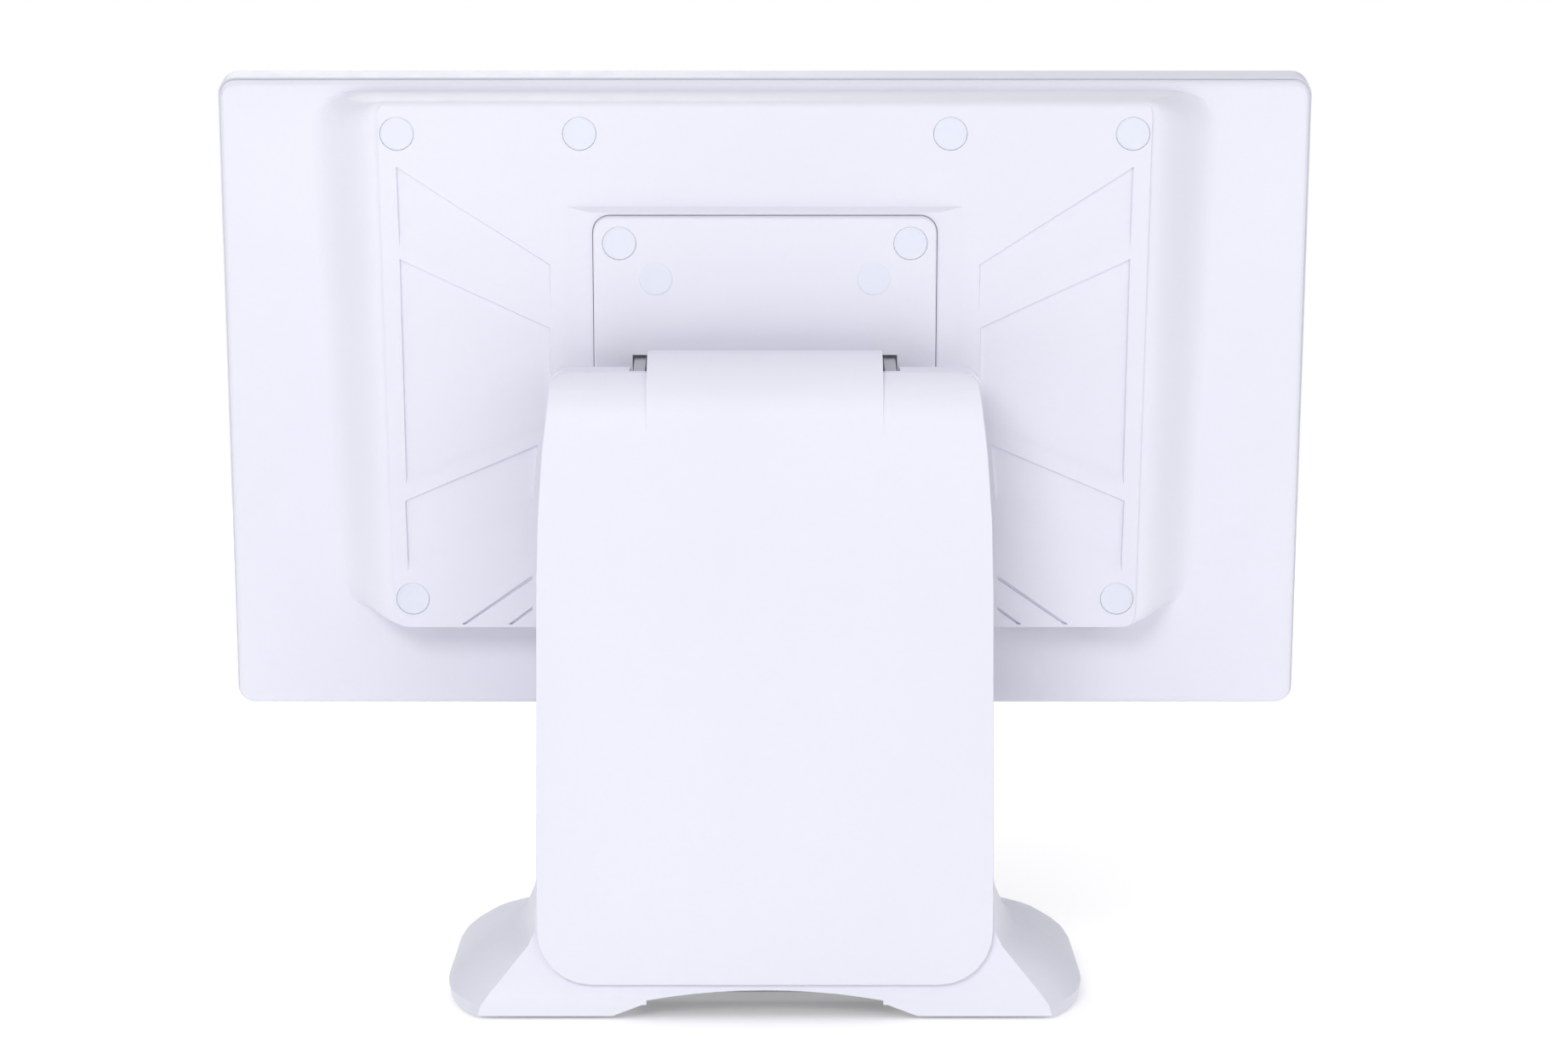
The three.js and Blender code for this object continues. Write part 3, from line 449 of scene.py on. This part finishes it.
RIB_COUNT = 9
RIB_HALF = 0.9 * MM
RIB_HEIGHT = 0.7 * MM  # how far the ribs stand out of the sole
SOLE_END = 2.5 * MM  # from each end of the foot to the middle of the nearest rib
SOLE_SIDE = 1.3 * MM


def foot(node):
    """A rubber foot with ribs across its sole."""
    low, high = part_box(node)
    shell = bmesh.new()
    box_in(shell, (low.x, low.y, low.z + RIB_HEIGHT), high, 0.6 * MM)
    pitch = (high.x - low.x - 2 * SOLE_END) / (RIB_COUNT - 1)
    for i in range(RIB_COUNT):
        x = low.x + SOLE_END + i * pitch
        box_in(shell, (x - RIB_HALF, low.y + SOLE_SIDE, low.z),
               (x + RIB_HALF, high.y - SOLE_SIDE, low.z + RIB_HEIGHT + 0.3 * MM), 0.25 * MM)
    made = piece_from(shell, "ribbed_" + node, SLOT_OF[node], BODY_OF[node])
    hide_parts(node)


for node in NODES:
    if node.startswith(("screw_cap", "pad_cap")):
        screw_cover(node)
    elif node.startswith("vesa_screw"):
        screw(node, DISPLAY, display_box, (0, 1, 0), 3.45 * MM, 1.85 * MM, 1.1 * MM)
    elif node.startswith("spine_screw"):
        screw(node, STAND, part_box, (0, 0, 1), 3.55 * MM, 1.85 * MM, 2.3 * MM)
    elif node.startswith("rubber_foot"):
        foot(node)


KNOCK_OUT_HALF = 37.5 * MM  # half the spacing of the pad's inner screw positions
KNOCK_OUTS = [(-1, -1), (-1, 1), (1, -1), (1, 1)]
PLUG_PROFILE = [(0, 0.1), (0.3, 0.28), (1.2, 0.28), (1.6, 0.22)]  # mm in from the rim, mm above the pad


def knock_out(right, up):
    """A thin round plug over one of the hinge pad's inner screw positions."""
    low, high = display_box("mount_pad")
    middle = (low + high) / 2
    centre = (middle.x + right * KNOCK_OUT_HALF, high.y, middle.z + up * KNOCK_OUT_HALF)
    shell = bmesh.new()
    rim = [(CAP_RADIUS - inward * MM, above * MM) for inward, above in PLUG_PROFILE]
    lathe_in(shell, [(0, 0), (CAP_RADIUS, 0), *rim, (0, rim[-1][1])], centre, (0, 1, 0), 48)
    piece_from(shell, f"pad_plug_{KNOCK_OUTS.index((right, up)) + 1}", "housing_trim",
               BODY_OF["mount_pad"], DISPLAY, 30)


for right, up in KNOCK_OUTS:
    knock_out(right, up)


def rounded_outline(half_w, half_h, radius, steps=8):
    """Points of a rounded rectangle round the display's middle, as x and z."""
    points = []
    for quarter in range(4):
        cx = (half_w - radius) * (1 if quarter in (0, 3) else -1)
        cz = (half_h - radius) * (1 if quarter in (0, 1) else -1)
        for i in range(steps + 1):
            angle = math.pi / 2 * (quarter + i / steps)
            points.append((cx + radius * math.cos(angle), cz + radius * math.sin(angle)))
    return points


SCREEN_CORNER = 6  # radius of the frame's corners, in mm
SHADE_GASKET_OVERLAP = 0.3 * MM  # how far it reaches past the gap on each side
SHADE_GASKET_SECTION = [  # mm inside the frame's outline, and the share of the way across the gap
    (1.15, 0),
    (1.0, 0.5),
    (1.15, 1),
]
SHADE_GASKET_INNER = 2.2  # mm inside the frame's outline, at its inner edge


def seam_gasket_and_shade():
    """A dark rubber gasket in the gap between the front frame and the rear cover. Its darkness is also painted
    shade, which deepens the seam's dark line.
    """
    low, high = display_box("front_frame")
    cover_low = display_box("rear_cover")[0]
    levels = [(inset, high.y + across * (cover_low.y - high.y)) for inset, across in SHADE_GASKET_SECTION]
    levels.append((SHADE_GASKET_INNER, cover_low.y + SHADE_GASKET_OVERLAP))
    levels.append((SHADE_GASKET_INNER, high.y - SHADE_GASKET_OVERLAP))
    sections = []
    for inset, y in levels:
        outline = rounded_outline(
            high.x - inset * MM, (high.z - low.z) / 2 - inset * MM, (SCREEN_CORNER - inset) * MM)
        sections.append([(x, y, z) for x, z in outline])
    shell = bmesh.new()
    rings = [[shell.verts.new(point) for point in section] for section in sections]
    for ring, after in zip(rings, rings[1:] + rings[:1]):
        for i in range(len(ring)):
            j = (i + 1) % len(ring)
            shell.faces.new((ring[i], ring[j], after[j], after[i]))
    # dark rubber in the seam: partly a real gasket, partly painted shade that darkens the seam line
    piece_from(shell, "seam_gasket_and_shade", "rubber", BODY_OF["front_frame"], DISPLAY, 40)


# a dark strip in the seam, partly painted shade
seam_gasket_and_shade()

# ---------------------------------------------------------------- inside the connectors

# Millimetres. Depths are measured up from the connector's lower face, where a plug goes in.
SHELL_WALL = 1.1  # from the connector's outline to its mouth
LIP = 0.4
LINER_DEPTH = 9.5
MOUTH_DEPTH = 11.8


class Socket:
    """A connector's mouth, filled with blocks and pins. They are placed in mm from its middle."""

    def __init__(self, node):
        low, high = display_box(node)
        self.node = node
        self.middle = (low + high) / 2
        self.face = low.z
        half = (high - low) / 2
        self.mouth = (half.x / MM - SHELL_WALL, half.y / MM - SHELL_WALL)
        self.shells = {}

    def shell(self, look):
        if look not in self.shells:
            self.shells[look] = bmesh.new()
        return self.shells[look]

    def block(self, look, x0, x1, y0, y1, depth0, depth1, bevel=0.1):
        box_in(self.shell(look),
               (self.middle.x + x0 * MM, self.middle.y + y0 * MM, self.face + depth0 * MM),
               (self.middle.x + x1 * MM, self.middle.y + y1 * MM, self.face + depth1 * MM), bevel * MM)

    def pin(self, look, x, y, radius, depth0, depth1):
        length = (depth1 - depth0) * MM
        lathe_in(self.shell(look),
                 [(0, 0), (radius * 0.6 * MM, 0), (radius * MM, radius * 0.7 * MM),
                  (radius * MM, length), (0, length)],
                 (self.middle.x + x * MM, self.middle.y + y * MM, self.face + depth0 * MM), (0, 0, 1), 16)

    def back(self, depth):
        """The black block that closes the mouth, from depth upwards."""
        half_x, half_y = self.mouth
        self.block("black_plastic", -half_x, half_x, -half_y, half_y, depth, MOUTH_DEPTH)

    def side_walls(self, thickness):
        half_x, half_y = self.mouth
        for side in (-1, 1):
            outer = side * half_x
            inner = outer - side * thickness
            x0, x1 = sorted((outer, inner))
            self.block("black_plastic", x0, x1, -half_y, half_y, LIP, LINER_DEPTH)

    def finish(self):
        for look, shell in self.shells.items():
            piece_from(shell, f"{self.node}_{look}", look, BODY_OF[self.node], DISPLAY, 30)


def row(count, pitch):
    """Places of count things in a row about 0."""
    return [(i - (count - 1) / 2) * pitch for i in range(count)]


def jack(node, contact_count):
    """A modular jack: a stepped black liner and a row of sprung wires."""
    socket = Socket(node)
    half_x, half_y = socket.mouth
    latch_half = 2
    socket.back(LINER_DEPTH)
    socket.side_walls(1.2)
    step = (half_y - 1.4, half_y, LIP, LINER_DEPTH)
    socket.block("black_plastic", -half_x + 1.3, -latch_half, *step)
    socket.block("black_plastic", latch_half, half_x - 1.3, *step)
    for x in row(contact_count, 1.02):
        socket.block("contact_gold", x - 0.22, x + 0.22, -half_y + 0.8, -half_y + 1.2, 1.6, 9.6, 0.05)
    socket.finish()


def double_usb(node):
    """Two stacked sockets: a divider, and in each a tongue with four contacts."""
    socket = Socket(node)
    half_x, half_y = socket.mouth
    tongue_depth = 10.6
    socket.block("port_metal", -half_x, half_x, -0.5, 0.5, 0.3, 11)
    socket.back(tongue_depth)
    for centre in (-half_y / 2 - 0.25, half_y / 2 + 0.25):
        top = centre + 0.3
        socket.block("black_plastic", -half_x + 1, half_x - 1, centre - 1.3, top,
                     0.9, tongue_depth + 0.1, 0.2)
        for x in row(4, 2.2):
            socket.block("contact_gold", x - 0.5, x + 0.5, top, top + 0.12, 1.4, 9, 0.03)
    socket.finish()


def pin_socket(node):
    """Nine pins in two rows, standing in a black block, in a metal rim."""
    socket = Socket(node)
    half_x, half_y = socket.mouth
    floor_depth = 6.5
    rim = (0.6, floor_depth + 0.1)
    rim_end = half_x - 3.4
    rim_side = half_y - 0.8
    socket.back(floor_depth)
    for count, y in ((5, 1.42), (4, -1.42)):
        for x in row(count, 2.77):
            socket.pin("contact_gold", x, y, 0.5, 1.2, 7)
    for side in (-1, 1):
        edge = side * rim_end
        socket.block("port_metal", edge - 0.4, edge + 0.4, -half_y + 0.6, half_y - 0.6, *rim)
    for side in (-1, 1):
        edge = side * rim_side
        socket.block("port_metal", -rim_end, rim_end, edge - 0.3, edge + 0.3, *rim)
    socket.finish()


def thin_socket(node):
    """A flat video socket: one thin tongue with a row of fine contacts."""
    socket = Socket(node)
    half_x = socket.mouth[0]
    tongue_half = 0.5
    socket.back(LINER_DEPTH)
    socket.block("black_plastic", -half_x + 1.2, half_x - 1.2, -tongue_half, tongue_half, 1.2, 9.6, 0.15)
    for x in row(10, 0.9):
        socket.block("contact_gold", x - 0.22, x + 0.22, tongue_half, tongue_half + 0.08, 1.6, 8, 0.02)
    socket.finish()


def power_inlet(node):
    """A barrel inlet: a wall each side, a centre pin, and a flat spring above it."""
    socket = Socket(node)
    half_y = socket.mouth[1]
    socket.back(LINER_DEPTH)
    socket.pin("port_metal", 0, 0, 1.15, 1.5, 10)
    socket.side_walls(0.9)
    socket.block("contact_gold", -1.4, 1.4, half_y - 0.5, half_y - 0.2, 2, LINER_DEPTH, 0.05)
    socket.finish()


power_inlet("dc_inlet")
jack("lan_port", 8)
jack("drawer_port", 6)
double_usb("usb_port_left")
double_usb("usb_port_right")
pin_socket("serial_port")
thin_socket("hdmi_port")

# ---------------------------------------------------------------- on the circuit boards

DICE = random.Random(7)
SMALL_GRID = (3, 2.4)  # mm between the places of the small parts, along x and z
SMALL_HALF = (0.8 * MM, 0.4 * MM)
SMALL_HEIGHT = 0.5 * MM


def chips_on(node, name, spots, height=1.0):
    """Black chip packages on a board's rear face. A spot is x, z, width and depth in mm, from its middle."""
    low, high = display_box(node)
    shell = bmesh.new()
    for x, z, width, depth in spots:
        middle = Vector(((low.x + high.x) / 2 + x * MM, 0, (low.z + high.z) / 2 + z * MM))
        box_in(shell, (middle.x - width / 2 * MM, high.y, middle.z - depth / 2 * MM),
               (middle.x + width / 2 * MM, high.y + height * MM, middle.z + depth / 2 * MM), 0.12 * MM)
    piece_from(shell, name, "black_plastic", BODY_OF[node], DISPLAY, 30)


def capacitors_on(node, name, spots, radius=3.1, height=6.5):
    """Round capacitors with a groove near the foot and a crimped top."""
    low, high = display_box(node)
    shell = bmesh.new()
    for x, z in spots:
        lathe_in(shell, [(0, 0), (radius * MM, 0), (radius * MM, 0.8 * MM), (radius * 0.86 * MM, 1.2 * MM),
                         (radius * MM, 1.6 * MM), (radius * MM, (height - 0.4) * MM),
                         (radius * 0.9 * MM, height * MM), (0, (height - 0.15) * MM)],
                 ((low.x + high.x) / 2 + x * MM, high.y, (low.z + high.z) / 2 + z * MM), (0, 1, 0), 24)
    piece_from(shell, name, "aluminium", BODY_OF[node], DISPLAY, 30)


def small_parts_on(node, name, area, count):
    """Small resistors and capacitors, each at a random place of a grid."""
    low, high = display_box(node)
    x0, x1, z0, z1 = area
    shell = bmesh.new()
    for _ in range(count):
        x = round(DICE.uniform(x0, x1) / SMALL_GRID[0]) * SMALL_GRID[0] * MM + (low.x + high.x) / 2
        z = round(DICE.uniform(z0, z1) / SMALL_GRID[1]) * SMALL_GRID[1] * MM + (low.z + high.z) / 2
        box_in(shell, (x - SMALL_HALF[0], high.y, z - SMALL_HALF[1]),
               (x + SMALL_HALF[0], high.y + SMALL_HEIGHT, z + SMALL_HALF[1]))
    piece_from(shell, name, "contact_gold", BODY_OF[node], DISPLAY, 30)


chips_on("mainboard", "board_chips",
         [(14, 58, 16, 16), (-50, 62, 10, 14), (38, -70, 12, 9), (74, 66, 9, 7)], 1.4)
capacitors_on("mainboard", "board_capacitors", [(-84 + 9 * i, 70) for i in range(4)] + [(84, -10), (84, -19)])
small_parts_on("mainboard", "board_small_parts", (-88, 88, 45, 85), 120)
chips_on("memory_module", "memory_chips", [(-24 + 16 * i, 3, 9, 12) for i in range(4)])
chips_on("ssd_module", "storage_chips", [(0, -16, 13, 14), (0, 2, 13, 14), (0, 18, 9, 9)])
chips_on("wifi_module", "wifi_chips", [(0, -4, 12, 12), (0, 9, 5, 4)])
chips_on("touch_controller", "touch_chips", [(0, 8, 9, 9), (4, -16, 6, 5)])
chips_on("button_board", "switch_body", [(0, 0, 6, 1.2)], 0.6)


CONE_PROFILE = [(0, 0), (1, 0), (1, 0.6), (0.92, 1), (0.82, 0.5), (0.4, 0.1), (0.28, 0.5), (0, 0.7)]
CONE_HEIGHT = 1.2 * MM  # CONE_PROFILE holds shares of the radius and of this
CONE_SUNK = 0.1 * MM  # how far the cone's foot is inside the case


def speaker(node):
    """A boxed speaker: a rounded case, and a cone in a rolled surround on its rear face."""
    low, high = display_box(node)
    middle = (low + high) / 2
    shell = bmesh.new()
    box_in(shell, low, (high.x, high.y - CONE_HEIGHT, high.z), 1 * MM)
    radius = (high.z - low.z) / 2 - 1.5 * MM
    profile = [(out * radius, up * CONE_HEIGHT) for out, up in CONE_PROFILE]
    lathe_in(shell, profile, (middle.x, high.y - CONE_HEIGHT - CONE_SUNK, middle.z), (0, 1, 0), 40)
    made = piece_from(shell, "cone_" + node, SLOT_OF[node], BODY_OF[node], DISPLAY, 30)
    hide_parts(node)


speaker("speaker_left")
speaker("speaker_right")


def status_light():
    """A small pill-shaped lens in the lower edge of the front frame, beside the power button."""
    low, high = display_box("power_button")
    bottom = display_box("front_frame")[0].z
    shell = bmesh.new()
    box_in(shell, (low.x - 12 * MM, low.y + 1.6 * MM, bottom - 0.15 * MM),
           (low.x - 7 * MM, high.y - 1.1 * MM, bottom + 0.6 * MM), 0.3 * MM)
    piece_from(shell, "status_light", "indicator_lens", BODY_OF["front_frame"], DISPLAY, 40)


status_light()


def dress_nodes():
    """The CAD nodes that still show take their slot's look."""
    for node, shown in NODES.items():
        shown.data.materials.clear()
        shown.data.materials.append(LOOKS[SLOT_OF[node]])


dress_nodes()

# ---------------------------------------------------------------- camera, floor and light


CAMERA_PLACE = (0, 1.635, 0.341)
CAMERA_LENS = 107.5  # mm, on a sensor 36 mm wide
CAMERA_DOWN = 6.39  # degrees below the level
CAMERA_SHIFT = 0.0122

FLOOR_RADIUS = 1.6
FLOOR_DROP = 0.3 * MM  # below the feet
GLOW_MIDDLE = 0.22  # strength of the floor's own light at its middle
GLOW_FAR = 0.55  # and GLOW_REACH from it
GLOW_REACH = 1.8

AMBIENT = 0.46
AIM = (0, 0, 0.2)  # about the object's middle
LIGHTS = [  # name, place, target, size in metres, and power in watts
    ("key", (0.55, 2.3, 1.2), AIM, (0.9, 0.7), 18),
    ("fill", (-1.2, 1.9, 0.6), AIM, (1.0, 0.8), 4),
    ("top", (0, 0, 4), (0, 0, 0), (8, 8), 82),
    ("front", (0.6, -1.6, 1.3), AIM, (1.4, 1.0), 8),
]


def camera():
    data = bpy.data.cameras.new("view")
    data.sensor_width = 36
    data.lens = CAMERA_LENS
    data.shift_x = CAMERA_SHIFT
    data.clip_end = 20
    made = bpy.data.objects.new("view", data)
    made.location = CAMERA_PLACE
    made.rotation_euler = (math.radians(90 - CAMERA_DOWN), 0, math.pi)
    COLLECTION.objects.link(made)
    bpy.context.scene.camera = made


def area_light(name, place, target, size, power):
    data = bpy.data.lights.new(name, "AREA")
    data.shape = "RECTANGLE"
    data.size, data.size_y = size
    data.energy = power
    made = bpy.data.objects.new(name, data)
    made.location = place
    made.rotation_euler = (Vector(target) - Vector(place)).to_track_quat("-Z", "Y").to_euler()
    COLLECTION.objects.link(made)


def floor_look():
    """Matt near-white, with a light of its own that grows outwards, so that it fades into the backdrop."""
    made = Look("floor", Roughness=0.85)
    made.colour(made.mix(made.spread(made.noise(2, 2), 0, 1), (0.93, 0.93, 0.935), (0.95, 0.95, 0.955)))
    reach = made.node("ShaderNodeVectorMath", operation="LENGTH")
    made.link(made.coords, reach.inputs[0])
    glow = made.spread(reach.outputs["Value"], GLOW_MIDDLE, GLOW_FAR, 0, GLOW_REACH)
    made.shader.inputs["Emission Color"].default_value = (1, 1, 1, 1)
    made.link(glow, made.shader.inputs["Emission Strength"])
    return made.material


def floor():
    shell = bmesh.new()
    bmesh.ops.create_circle(shell, cap_ends=True, radius=FLOOR_RADIUS, segments=128)
    mesh = bpy.data.meshes.new("floor")
    shell.to_mesh(mesh)
    shell.free()
    mesh.materials.append(floor_look())
    made = bpy.data.objects.new("floor", mesh)
    made.location.z = -FLOOR_DROP
    COLLECTION.objects.link(made)


def surround():
    """A pure white backdrop where it is seen, and a cooler, dimmer light on the object."""
    world = bpy.data.worlds.new("studio")
    world.use_nodes = True
    nodes, links = world.node_tree.nodes, world.node_tree.links
    ambient = nodes["Background"]
    ambient.inputs["Color"].default_value = (0.97, 0.975, 1.0, 1)
    ambient.inputs["Strength"].default_value = AMBIENT
    backdrop = nodes.new("ShaderNodeBackground")
    backdrop.inputs["Color"].default_value = (1, 1, 1, 1)
    backdrop.inputs["Strength"].default_value = 1.0
    seen = nodes.new("ShaderNodeLightPath")
    choice = nodes.new("ShaderNodeMixShader")
    links.new(seen.outputs["Is Camera Ray"], choice.inputs["Fac"])
    links.new(ambient.outputs["Background"], choice.inputs[1])
    links.new(backdrop.outputs["Background"], choice.inputs[2])
    links.new(choice.outputs["Shader"], nodes["World Output"].inputs["Surface"])
    bpy.context.scene.world = world


camera()
floor()
surround()
for light in LIGHTS:
    area_light(*light)
bpy.context.scene.view_settings.view_transform = "Standard"
